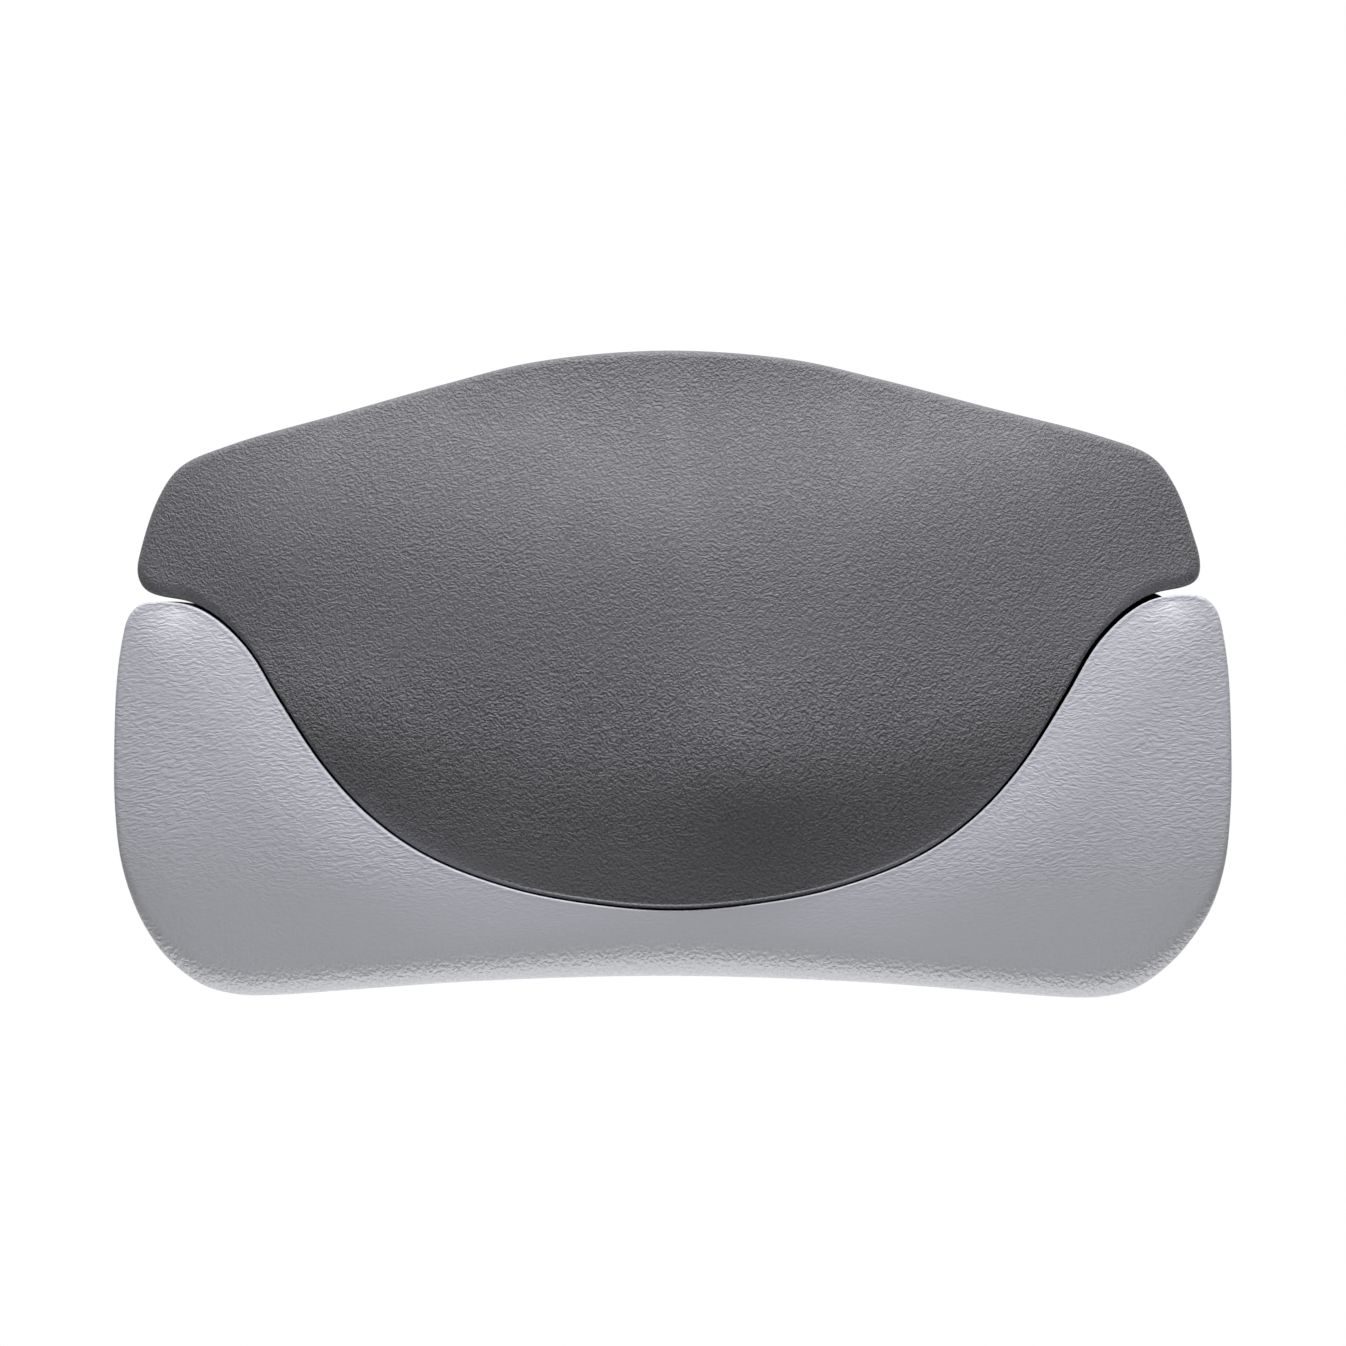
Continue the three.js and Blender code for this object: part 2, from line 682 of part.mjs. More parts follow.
// One-piece suction cup: a dome with a flat lip against the wall, a neck
// through the keyhole and a mushroom head behind it, with a tab to peel it by
function cupSolid(side) {
  const hollowRadius = cupRadius - cupLipWidth;
  const headFront = cupHeadBack + cupHeadThickness;
  const profile = [
    [0, cupHollowDepth],
    ...cupHollowShares.map(([radius, depth]) => [radius * hollowRadius, depth * cupHollowDepth]),
    [hollowRadius, 0],
    [cupRadius, 0],
    [cupRadius, cupLipThickness / 2],
    [cupRadius - cupLipThickness, cupLipThickness],
    ...cupDomeShares.map(([radius, depth]) => [radius * hollowRadius, depth * cupHeight]),
    [cupShoulderRadius, cupHeight],
    [cupNeckRadius, cupHeight],
    [cupNeckRadius, cupHeadBack],
    [cupHeadRadius, cupHeadBack],
    [cupHeadRadius, headFront - cupHeadRounding],
    [cupHeadRadius - cupHeadRounding, headFront],
    [0, headFront],
  ];
  const tabStart = side * (cupRadius - cupLipWidth / 2);
  const tabEnd = side * (cupRadius + cupTabLength);
  const low = new THREE.Vector3(-cupTabWidth / 2, Math.min(tabStart, tabEnd), cupTabLift);
  const high = new THREE.Vector3(cupTabWidth / 2, Math.max(tabStart, tabEnd), cupTabLift + cupTabThickness);
  return turned(profile, cupSides).add(block(low, high));
}

// Pan-head self-tapping screw with a cross recess, driven from the back
function screwSolid() {
  const profile = [
    [0, screwHeadBack],
    [screwHeadRadius - screwHeadRounding, screwHeadBack],
    [screwHeadRadius, screwHeadBack + screwHeadRounding],
    [screwHeadRadius, screwHeadFront],
    [screwShankRadius, screwHeadFront],
    [screwShankRadius, screwTip - screwTipLength],
    [0, screwTip],
  ];
  const arm = (spanX, spanY) => {
    const low = new THREE.Vector3(-spanX / 2, -spanY / 2, screwHeadBack - overrun);
    return block(low, new THREE.Vector3(spanX / 2, spanY / 2, screwHeadBack + recessDepth));
  };
  const recess = arm(recessSpan, recessWidth).add(arm(recessWidth, recessSpan));
  return turned(profile, screwSides).subtract(recess);
}

function paddingGroup() {
  const group = new THREE.Group();
  const headPlaces = headScrewPlaces();
  const neckPlaces = neckScrewPlaces();
  const headInsert = headInsertOutline();
  const neckInsert = neckInsertOutline();
  group.add(meshOf("head_pad_cover", coverSolid(headPad, headInsert, headPlaces), headSkin));
  group.add(meshOf("head_pad_foam", foamSolid(headPad, headPlaces), foam));
  group.add(meshOf("head_pad_insert", insertSolid(headInsert, headPlaces), insertPlastic));
  group.add(meshOf("neck_pad_cover", coverSolid(neckPad, neckInsert, neckPlaces), neckSkin));
  group.add(meshOf("neck_pad_foam", foamSolid(neckPad, neckPlaces), foam));
  group.add(meshOf("neck_pad_insert", insertSolid(neckInsert, neckPlaces), insertPlastic));
  return group;
}

function screwGroup(label, places) {
  const group = new THREE.Group();
  places.forEach((place, at) => {
    const screw = meshOf(`${label}_screw_${at + 1}`, screwSolid(), screwSteel);
    screw.position.set(place.x, place.y, 0);
    group.add(screw);
  });
  return group;
}

function cupGroup() {
  const group = new THREE.Group();
  for (const { name, place } of cupPlaces()) {
    const cup = meshOf(name, cupSolid(Math.sign(place.y)), cupVinyl);
    cup.position.set(place.x, place.y, 0);
    group.add(cup);
  }
  return group;
}

const pillow = new THREE.Group();
pillow.name = "bath_pillow";
pillow.add(paddingGroup());
const screwPlaces = [...headScrewPlaces(), ...neckScrewPlaces()];
pillow.add(meshOf("carrier_plate", carrierSolid(screwPlaces), carrierPlastic));
pillow.add(screwGroup("head", headScrewPlaces()));
pillow.add(screwGroup("neck", neckScrewPlaces()));
pillow.add(cupGroup());
pillow.rotation.x = Math.PI / 2;

export default pillow;
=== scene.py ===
from math import cos, pi, radians, sin

import bmesh
import bpy
import numpy as np
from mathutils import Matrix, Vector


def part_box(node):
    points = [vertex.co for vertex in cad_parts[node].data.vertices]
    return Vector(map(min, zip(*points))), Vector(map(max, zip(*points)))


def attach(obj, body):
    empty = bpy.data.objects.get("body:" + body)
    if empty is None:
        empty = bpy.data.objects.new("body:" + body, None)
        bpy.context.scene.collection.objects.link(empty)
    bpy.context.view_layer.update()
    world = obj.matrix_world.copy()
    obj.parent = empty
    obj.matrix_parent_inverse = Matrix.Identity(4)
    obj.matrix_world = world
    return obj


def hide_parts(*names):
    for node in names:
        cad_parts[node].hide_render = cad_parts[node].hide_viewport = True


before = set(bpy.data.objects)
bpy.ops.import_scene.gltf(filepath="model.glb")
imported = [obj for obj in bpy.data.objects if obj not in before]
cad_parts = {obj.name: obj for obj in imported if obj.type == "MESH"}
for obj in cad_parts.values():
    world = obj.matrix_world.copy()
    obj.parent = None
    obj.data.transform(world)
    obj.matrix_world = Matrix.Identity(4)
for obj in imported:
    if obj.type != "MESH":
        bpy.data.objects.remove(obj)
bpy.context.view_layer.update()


# Carrier plate. A black injection-moulded tray with a rim, ribs and screw bosses that joins the two
# pads. Its faces have the fine frosting of a spark-eroded mould, and its edges are broken by a small
# rounding.
class Shade:
    """A value in a material. Sums, differences, products, quotients and powers of values are Math
    nodes, and node() adds any other one: its settings are set first, then its sockets are filled
    with numbers or linked to values."""

    def __init__(self, tree, socket=None):
        self.tree = tree
        self.socket = socket

    def node(self, kind, settings=None, sockets=None, output=0):
        made = self.tree.nodes.new(kind)
        for setting, choice in (settings or {}).items():
            setattr(made, setting, choice)
        for key, value in (sockets or {}).items():
            if isinstance(value, Shade):
                self.tree.links.new(value.socket, made.inputs[key])
            else:
                made.inputs[key].default_value = value
        return Shade(self.tree, made.outputs[output])

    def math(self, operation, *values):
        return self.node("ShaderNodeMath", {"operation": operation}, dict(enumerate(values)))

    def __add__(self, other):
        return self.math("ADD", self, other)

    def __sub__(self, other):
        return self.math("SUBTRACT", self, other)

    def __rsub__(self, other):
        return self.math("SUBTRACT", other, self)

    def __mul__(self, other):
        return self.math("MULTIPLY", self, other)

    __radd__ = __add__
    __rmul__ = __mul__

    def step(self, low, high):
        """0 below low, 1 above high and smooth in between."""
        sockets = {"Value": self, "From Min": low, "From Max": high}
        return self.node("ShaderNodeMapRange", {"interpolation_type": "SMOOTHSTEP"}, sockets)

    def noise(self, size, detail=0.0, roughness=0.5):
        """Noise between 0 and 1 whose lumps are about that size apart. self is the place it is read at."""
        sockets = {"Vector": self, "Scale": 1 / size, "Detail": detail, "Roughness": roughness}
        return self.node("ShaderNodeTexNoise", {}, sockets)

    def measured(self, sizes, slant=0.0):
        """A place given in multiples of three sizes, along axes that are turned by a slant about Y."""
        sockets = {"Vector": self, "Scale": sizes, "Rotation": (0.0, slant, 0.0)}
        return self.node("ShaderNodeMapping", {"vector_type": "TEXTURE"}, sockets)

    def tint(self, dark, light):
        """A colour between two, by self."""
        return self.node("ShaderNodeMix", {"data_type": "RGBA"}, {0: self, 6: dark, 7: light}, output=2)

    def bump(self, depth):
        """The surface's normal with self as its height, where 1 stands depth above 0."""
        return self.node("ShaderNodeBump", {}, {"Height": self, "Distance": depth})


def start_finish(name, **constants):
    """A material with a Principled surface whose sockets hold these constants, the place on the piece,
    and a function that links a value to one of the surface's sockets."""
    finish = bpy.data.materials.new(name)
    finish.use_nodes = True
    tree = finish.node_tree
    surface = tree.nodes["Principled BSDF"]
    for socket, value in constants.items():
        surface.inputs[socket.replace("_", " ")].default_value = value

    def feed(socket, value):
        tree.links.new(value.socket, surface.inputs[socket])

    return finish, Shade(tree).node("ShaderNodeTexCoord", output="Object"), feed


def frosted_plastic(name, colour, frost_size, frost_depth, roughness):
    """Moulded plastic: a fine even frosting, and a faint cloudiness in its colour and gloss."""
    finish, place, feed = start_finish(name)
    cloud_size, cloud_share = 0.012, 0.86
    cloud = place.noise(cloud_size, detail=2.0)
    deeper = tuple(cloud_share * channel for channel in colour[:3]) + (1.0,)
    feed("Base Color", cloud.tint(deeper, colour))
    feed("Roughness", roughness + 0.12 * (cloud - 0.5))
    feed("Normal", place.noise(frost_size, detail=3.0, roughness=0.6).bump(frost_depth))
    return finish


def rounded_copy(node, name, rounding):
    """A copy of a CAD node with its triangles merged into whole faces and its edges rounded."""
    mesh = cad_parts[node].data.copy()
    shape = bmesh.new()
    shape.from_mesh(mesh)
    bmesh.ops.remove_doubles(shape, verts=shape.verts, dist=1e-5)
    bmesh.ops.dissolve_limit(shape, angle_limit=radians(0.5), verts=shape.verts, edges=shape.edges)
    shape.to_mesh(mesh)
    shape.free()
    mesh.materials.clear()
    piece = bpy.data.objects.new(name, mesh)
    bpy.context.scene.collection.objects.link(piece)
    bevel = piece.modifiers.new("broken edges", "BEVEL")
    bevel.width = rounding
    bevel.segments = 2
    bevel.limit_method = "ANGLE"
    bevel.angle_limit = radians(35)
    mesh.shade_smooth()
    mesh.set_sharp_from_angle(angle=radians(32))
    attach(piece, "pillow")
    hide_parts(node)
    return piece


carrier = rounded_copy("carrier_plate", "carrier_tray", rounding=0.0004)
carrier.data.materials.append(
    frosted_plastic("carrier_black_abs", (0.016, 0.016, 0.018, 1.0), 0.00035, 0.00002, 0.42)
)


# Suction cups. Clear soft PVC, moulded in one piece: a dome with a thin lip, a neck that slides in the
# carrier's keyhole, a mushroom head behind it, and a tab on the lip to peel the cup off by.
def ring_triangles(number):
    """Triangles between neighbouring rings of point numbers, without those whose corners coincide."""
    beside = np.roll(number, -1, axis=1)
    lower = np.stack([number[:-1], beside[:-1], beside[1:]], axis=-1).reshape(-1, 3)
    upper = np.stack([number[:-1], beside[1:], number[1:]], axis=-1).reshape(-1, 3)
    triangles = np.concatenate([lower, upper])
    whole = np.all(triangles != np.roll(triangles, 1, axis=1), axis=1)
    return triangles[whole]


def piece_of(name, points, triangles, crease=35):
    """A Blender object of points and triangles, smooth but for edges sharper than crease degrees."""
    used, triangles = np.unique(triangles, return_inverse=True)
    mesh = bpy.data.meshes.new(name)
    mesh.from_pydata(points.reshape(-1, 3)[used], [], triangles.reshape(-1, 3))
    mesh.shade_smooth()
    mesh.set_sharp_from_angle(angle=radians(crease))
    piece = bpy.data.objects.new(name, mesh)
    bpy.context.scene.collection.objects.link(piece)
    return piece


same_point = 1e-7


def rounded_profile(corners, roundings, steps=6):
    """A line through corners of (radius, depth), each rounded by a quadratic Bezier curve that starts
    and ends the given length away from it, or halfway to its neighbour if that is nearer. Of points
    that coincide, one is kept."""
    corners = np.asarray(corners)
    middle, before, after = corners[1:-1], corners[:-2], corners[2:]
    back, ahead = before - middle, after - middle
    reach = np.asarray(roundings)[:, None]
    lengths = [np.linalg.norm(side, axis=1, keepdims=True) for side in (back, ahead)]
    start = middle + back / lengths[0] * np.minimum(reach, lengths[0] / 2)
    end = middle + ahead / lengths[1] * np.minimum(reach, lengths[1] / 2)
    t = np.linspace(0, 1, steps)[None, :, None]
    curves = (1 - t) ** 2 * start[:, None] + 2 * t * (1 - t) * middle[:, None] + t ** 2 * end[:, None]
    line = np.concatenate([corners[:1], curves.reshape(-1, 2), corners[-1:]])
    apart = np.linalg.norm(np.diff(line, axis=0), axis=1) > same_point
    return line[np.concatenate([[True], apart])]


def turned_rings(radius, depth, angles, centre):
    """Points of a turned surface that stands on the wall at a centre. radius and depth are given by
    profile step and angle."""
    across = centre.x + radius * np.cos(angles)
    up = centre.z + radius * np.sin(angles)
    return np.stack([across, -depth + 0 * across, up], axis=-1)


def closed_piece(name, rings, crease=35):
    """A piece over rings of points, of which the first and the last shrink to one point each."""
    number = np.arange(rings.shape[0] * rings.shape[1]).reshape(rings.shape[:2])
    number[0] = number[0, 0]
    number[-1] = number[-1, 0]
    return piece_of(name, rings, ring_triangles(number), crease)


def clear_vinyl():
    """Soft clear PVC: faintly blue, glossy, with a slight ripple where it has shrunk in the mould."""
    finish, place, feed = start_finish(
        "clear_soft_pvc", Transmission_Weight=0.82, IOR=1.53, Coat_Weight=0.25, Coat_Roughness=0.08
    )
    ripple = place.noise(0.004, detail=1.0)
    feed("Base Color", ripple.tint((0.74, 0.82, 0.86, 1.0), (0.83, 0.89, 0.92, 1.0)))
    feed("Roughness", 0.13 + 0.16 * ripple)
    feed("Normal", ripple.bump(0.00006))
    return finish


cup_height = 0.009
cup_lip_radius = 0.023
cup_hollow_radius = 0.021
cup_hollow_depth = 0.0056
cup_head_back = 0.0121
cup_head_front = 0.0165
cup_tab_length = 0.006
cup_tab_half_width = 0.004
cup_tab_lift = 0.0005
cup_lip_thickness = cup_height / 8
cup_turn_steps = 220
cup_tab_crowding = 0.8
cup_corners = [
    (0.0, cup_hollow_depth), (0.0063, 0.0055), (0.0116, 0.0045), (0.0168, 0.0022),
    (cup_hollow_radius, 0.0), (cup_lip_radius, 0.0), (cup_lip_radius, 0.0009), (0.0205, 0.0017),
    (0.0178, 0.004), (0.0126, 0.0071), (0.007, cup_height), (0.004, cup_height),
    (0.004, cup_head_back), (0.0065, cup_head_back), (0.0065, cup_head_front), (0.0, cup_head_front),
]
cup_roundings = [
    0.003, 0.003, 0.003, 0.0004, 0.0003, 0.0004, 0.0012, 0.002, 0.003, 0.002, 0.0008, 0.0005, 0.0006, 0.0022,
]
cup_vinyl = clear_vinyl()


def cup_piece(name, node):
    """The cup's profile turned round its axis. Over the tab's width the lip reaches out by the fourth
    root of one less the fourth power of the way aside, a square with rounded corners, and the steps
    of the turn lie closer together there."""
    low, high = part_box(node)
    centre = (low + high) / 2
    side = 1 if centre.z > 0 else -1
    centre.z -= side * cup_tab_length / 2
    steps = np.linspace(0, 2 * pi, cup_turn_steps, endpoint=False)
    angles = steps - cup_tab_crowding * np.sin(steps)
    off_tab = np.abs((angles + pi) % (2 * pi) - pi)
    lateral = np.clip(cup_lip_radius * np.tan(np.minimum(off_tab, 1)) / cup_tab_half_width, 0, 1)
    tab = cup_tab_length * (1 - lateral ** 4) ** 0.25
    radius, depth = rounded_profile(cup_corners, cup_roundings).T
    at_lip = np.clip((radius - cup_hollow_radius) / (cup_lip_radius - cup_hollow_radius), 0, 1)
    share = at_lip * np.clip(2 - depth / cup_lip_thickness, 0, 1)
    reach = radius[:, None] + share[:, None] * tab[None, :]
    lift = depth[:, None] + share[:, None] * cup_tab_lift * (tab / cup_tab_length)[None, :]
    piece = closed_piece(name, turned_rings(reach, lift, angles + side * pi / 2, centre), crease=50)
    piece.data.materials.append(cup_vinyl)
    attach(piece, node)
    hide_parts(node)


for level in ("upper", "lower"):
    for hand in ("left", "right"):
        cup_piece(f"suction_cup_{level}_{hand}", f"cup_{level}_{hand}")


# Inserts. A grey polypropylene plate let into the back of each pad, with blind bosses that the screws
# bite into. Only a little of them shows: beside the carrier's rim, and through its keyholes.
insert_grey = frosted_plastic("insert_grey_pp", (0.27, 0.275, 0.285, 1.0), 0.0006, 0.00003, 0.5)
for pad in ("head", "neck"):
    insert = rounded_copy(f"{pad}_pad_insert", f"{pad}_pad_stiffener", rounding=0.0003)
    insert.data.materials.append(insert_grey)


# Head pad outline. The pad is moulded in one piece, seen from the front as a broad shield with two
# ears. Its outline is a smooth closed curve that starts at the right ear's tip and runs over the top.
head_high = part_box("head_pad_cover")[1]
neck_low, neck_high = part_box("neck_pad_cover")
pad_back = -head_high.y
pillow_half_width = neck_high.x
pillow_bottom = neck_low.z
head_half_width = 0.1428
head_top = 0.0867
head_bottom = -0.0630
head_upper_shares = [
    (0.991, 0.6585), (0.957, 0.7492), (0.915, 0.8026), (0.819, 0.8398), (0.613, 0.8922),
    (0.406, 0.9456), (0.243, 0.9819),
]
head_lower_shares = [
    (0.991, 0.587), (0.966, 0.5759), (0.902, 0.5638), (0.85, 0.5356), (0.791, 0.4752), (0.737, 0.3845),
    (0.653, 0.2576), (0.567, 0.1669), (0.46, 0.0954), (0.294, 0.036), (0.128, 0.0078),
]
ear_tip_share = 0.6182
head_lean = radians(0.45)
head_aside = -0.0013
leaning_from = 0.018
leaning_height = 0.016
left_ear = (-0.132, 0.018)
left_ear_sag = 0.0020
left_ear_sag_width = 0.022
left_ear_reach = 0.0010
loop_spacing = 0.0004
steps_between_corners = 64


def inward_of(points):
    """The inward direction at each of a closed curve's evenly spaced points: its direction, turned."""
    along = np.roll(points, -1, axis=0) - np.roll(points, 1, axis=0)
    along = along / np.linalg.norm(along, axis=1, keepdims=True)
    return np.stack([-along[:, 1], along[:, 0]], axis=1)


def smooth_loop(points, ease):
    """A closed curve through points, as evenly spaced ones with their inward directions. Between two
    points it is the cubic of a centripetal Catmull-Rom spline, and a Gaussian of width ease along it
    takes out the changes of curvature at them."""
    here = np.asarray(points)
    before, after, beyond = (np.roll(here, shift, axis=0) for shift in (1, -1, -2))
    span = np.sqrt(np.linalg.norm(after - here, axis=1, keepdims=True))
    span_before, span_after = np.roll(span, 1, axis=0), np.roll(span, -1, axis=0)
    leave = (here - before) / span_before - (after - before) / (span_before + span) + (after - here) / span
    arrive = (after - here) / span - (beyond - here) / (span + span_after) + (beyond - after) / span_after
    t = np.linspace(0, 1, steps_between_corners, endpoint=False)[None, :, None]
    curve = (2 * t ** 3 - 3 * t ** 2 + 1) * here[:, None]
    curve = curve + (t ** 3 - 2 * t ** 2 + t) * (span * leave)[:, None]
    curve = curve + (3 * t ** 2 - 2 * t ** 3) * after[:, None]
    curve = curve + (t ** 3 - t ** 2) * (span * arrive)[:, None]
    curve = np.concatenate([curve.reshape(-1, 2), here[:1]])
    lengths = np.concatenate([[0], np.cumsum(np.linalg.norm(np.diff(curve, axis=0), axis=1))])
    count = int(lengths[-1] / loop_spacing)
    at = np.linspace(0, lengths[-1], count, endpoint=False)
    even = np.stack([np.interp(at, lengths, curve[:, axis]) for axis in (0, 1)], axis=1)
    waves = np.fft.fftfreq(count, lengths[-1] / count)
    kept = np.exp(-2 * (pi * waves * ease) ** 2)[:, None]
    even = np.fft.ifft(np.fft.fft(even, axis=0) * kept, axis=0).real
    point_shares = lengths[:-1].reshape(len(here), -1)[:, 0] / lengths[-1]
    return {"points": even, "inward": inward_of(even), "point_shares": point_shares}


def on_loop(loop, shares):
    """Points and inward directions of a closed curve at shares of its length."""
    count = len(loop["points"])
    at = np.asarray(shares) * count
    found = [
        np.stack([np.interp(at, np.arange(count), values[:, axis], period=count) for axis in (0, 1)], axis=1)
        for values in (loop["points"], loop["inward"])
    ]
    return found[0], found[1] / np.linalg.norm(found[1], axis=1, keepdims=True)


def both_sides(right):
    """Points of a right half, and the same mirrored to the left in the opposite order."""
    right = np.asarray(right)
    return right, (right * (-1, 1))[::-1]


def head_point(shares):
    """Points given in shares of the head pad's half width and of its height."""
    shares = np.asarray(shares)
    return shares * (head_half_width, head_top - head_bottom) + (0, head_bottom)


def leaned(points):
    """Points above the ears' undersides, turned a little about the pillow's middle and moved aside. How
    much of that they get rises smoothly from nothing to the whole over leaning_height."""
    share = np.clip((points[:, 1:] - leaning_from) / leaning_height, 0, 1)
    turned = points @ np.array([[cos(head_lean), sin(head_lean)], [-sin(head_lean), cos(head_lean)]])
    return points + share ** 2 * (3 - 2 * share) * (turned + (head_aside, 0) - points)


def sagged(loop, reach):
    """A closed curve that hangs lower round the left ear, and reaches further aside there, by a
    Gaussian of the way from it."""
    away = np.linalg.norm(loop["points"] - left_ear, axis=1, keepdims=True)
    moved = loop["points"] - (reach, left_ear_sag) * np.exp(-((away / left_ear_sag_width) ** 2) / 2)
    return {**loop, "points": moved, "inward": inward_of(moved)}


upper_right, upper_left = both_sides(head_point(head_upper_shares))
lower_right, lower_left = both_sides(head_point(head_lower_shares))
ear_tip = head_point([(1.0, ear_tip_share)])
head_corners = leaned(
    np.concatenate([
        ear_tip, upper_right, head_point([(0.0, 1.0)]), upper_left,
        ear_tip * (-1, 1), lower_left[::-1], head_point([(0.0, 0.0)]), lower_right[::-1],
    ])
)
head_loop = smooth_loop(head_corners, ease=0.0015)
head_far_share = head_loop["point_shares"][2 * len(head_upper_shares) + 2]
head_edge = sagged(head_loop, left_ear_reach)


# Head pad. Dark grey integral-skin polyurethane over a softer core: fullest behind the neck, falling
# away above and below, with a low swelling in the middle. Along its lower edge runs a thin bead.
pad_thickness = 0.0490
middle_slope = 0.05
middle_fold = 0.020
middle_softness = 0.006
lower_slope = 0.28
lower_fold = -0.0265
lower_softness = 0.0048
upper_slope = 0.25
upper_fold = 0.038
upper_softness = 0.007
brim_fold = 0.076
brim_softness = 0.005
side_fall = 0.0155
side_lift = 0.034
head_swells = [
    (0.022, -0.0235, 0.0031, 0.0165), (0.062, -0.022, 0.0008, 0.016), (-0.047, -0.024, -0.0010, 0.020),
    (-0.095, -0.018, 0.0010, 0.014), (-0.112, 0.030, 0.0016, 0.014), (0.130, 0.032, -0.0006, 0.014),
]
head_upper_radius = 0.0020
head_lower_radius = 0.0005
head_ear_radius = 0.0050
head_ear_start = 0.100
head_ear_width = 0.030
bead_height = 0.00046
bead_width = 0.00028
bead_inset = 0.0006
bead_middle = 0.012
bead_reach = 0.060
skin_thickness = 0.0024
core_gap = 0.0003
skin_inside = pad_back + skin_thickness
overrun = 0.001
opening_depths = (pad_back - overrun, skin_inside + overrun)
edge_drop_share = 0.62
edge_drop_power = 2.4
least_radius = 0.0002
least_back_radius = 0.0003
back_round_steps = 7
front_round_steps = 14
fine_ring = 0.00014
spine_crowding = 1.4


def soft_fold(past, softness):
    """0 before a fold line and the distance past it beyond, bent softly: softness times the natural
    logarithm of one plus the exponential of the distance over the softness."""
    return softness * np.logaddexp(0, past / softness)


def head_face(x, z):
    """How far the face stands from the wall: three nearly flat planes that meet in soft folds, and a
    brim that levels out along the top. As the square of the way out, the folds lie higher and the
    whole face falls back. Broad low round swells disturb it."""
    out = (x / head_half_width) ** 2
    up = z - side_lift * out
    fall = middle_slope * soft_fold(middle_fold - up, middle_softness)
    fall = fall + lower_slope * soft_fold(lower_fold - up, lower_softness)
    fall = fall + upper_slope * soft_fold(up - upper_fold, upper_softness)
    fall = fall - upper_slope * soft_fold(up - brim_fold, brim_softness)
    swell = sum(
        height * np.exp(-((x - middle) ** 2 + (z - level) ** 2) / (2 * spread ** 2))
        for middle, level, height, spread in head_swells
    )
    return pad_back + pad_thickness - fall - side_fall * out + swell


def way_in(x, z, edge):
    """Distance from a curve of evenly spaced points, eased. It is the inverse cube root of the sum of
    the inverse fourth powers of the distances to them, which beside a straight edge is the plain
    distance, and has no ridge between two edges."""
    step = np.linalg.norm(edge[1] - edge[0])
    far = (x[..., None] - edge[:, 0]) ** 2 + (z[..., None] - edge[:, 1]) ** 2
    return (2 / pi * np.sum(step / np.maximum(far, step ** 2) ** 2, axis=-1)) ** (-1 / 3)


def pad_spots(loop, far_share, steps):
    """Spots round a pad, whose two edges meet at both tips: out along the first edge, back along the
    second, closer together at the tips. partner is the number of the spot across."""
    along = (1 - np.cos(np.linspace(0, pi, steps + 1))) / 2
    shares = np.concatenate([along * far_share, 1 - along[-2:0:-1] * (1 - far_share)])
    points, inward = on_loop(loop, shares)
    number = np.arange(2 * steps)
    return {"points": points, "inward": inward, "partner": (-number) % (2 * steps), "tips": (0, steps)}


def at_depth(flat, depth):
    """Flat points of (x, z) at a depth from the wall, as points in space."""
    return np.stack([flat[:, 0], -depth + 0 * flat[:, 0], flat[:, 1]], axis=1)


def pad_points(spots, face, radius, inset, back, back_radius=0.002, inner_steps=36, fine_steps=12):
    """Rings of points from the middle of a pad's back, out to its side, over its front edge and in to
    its spine, where the rings of the two edges meet, all drawn in by an inset. The front edge drops
    from the face by edge_drop_share times radius times one less the square root of one less
    q ** edge_drop_power, where q falls from 1 at the side to 0 a radius in. From there the rings keep
    to straight lines, and the first ones lie closer together."""
    radius = np.maximum(radius - inset, least_radius)[:, None]
    back_radius = max(back_radius - inset, least_back_radius)
    edge, inward = spots["points"] + inset * spots["inward"], spots["inward"]
    fronts = edge + radius * inward
    spine = (fronts + fronts[spots["partner"]]) / 2
    back_spine = edge + back_radius * inward
    back_spine = (back_spine + back_spine[spots["partner"]]) / 2
    rings = [at_depth(back_spine, back)]
    for turn in np.linspace(0, pi / 2, back_round_steps):
        flat = edge + back_radius * (1 - np.sin(turn)) * inward
        rings.append(at_depth(flat, back + back_radius * (1 - np.cos(turn))))
    for turn in np.linspace(0, pi / 2, front_round_steps):
        flat = edge + radius * (1 - np.cos(turn)) * inward
        drop = edge_drop_share * radius[:, 0] * (1 - np.sqrt(1 - np.cos(turn) ** edge_drop_power))
        rings.append(at_depth(flat, face(*flat.T) - inset - drop))
    fine_share = np.linalg.norm(spine - fronts, axis=1, keepdims=True)
    fine_share = np.minimum(fine_ring / np.maximum(fine_share, fine_ring), 1 / inner_steps)
    for step in range(1, inner_steps + 1):
        share = fine_share * min(step, fine_steps)
        past = max(0, step - fine_steps) / (inner_steps - fine_steps)
        share = share + (1 - share) * past ** spine_crowding
        flat = fronts * (1 - share) + spine * share
        rings.append(at_depth(flat, face(*flat.T) - inset))
    points = np.stack(rings)
    number = np.arange(points.shape[0] * points.shape[1]).reshape(points.shape[:2])
    number[-inner_steps:-1, spots["tips"]] = number[-1, spots["tips"]]
    for row in (0, -1):
        number[row] = np.minimum(number[row], number[row][spots["partner"]])
    return points, number


def cut_away(piece, *cutters):
    """Cuts closed pieces out of a piece, and removes them."""
    for cutter in cutters:
        hole = piece.modifiers.new("cut", "BOOLEAN")
        hole.operation = "DIFFERENCE"
        hole.solver = "MANIFOLD"
        hole.object = cutter
        bpy.context.view_layer.objects.active = piece
        bpy.ops.object.modifier_apply(modifier=hole.name)
        bpy.data.objects.remove(cutter)
    piece.data.shade_smooth()
    piece.data.set_sharp_from_angle(angle=radians(35))


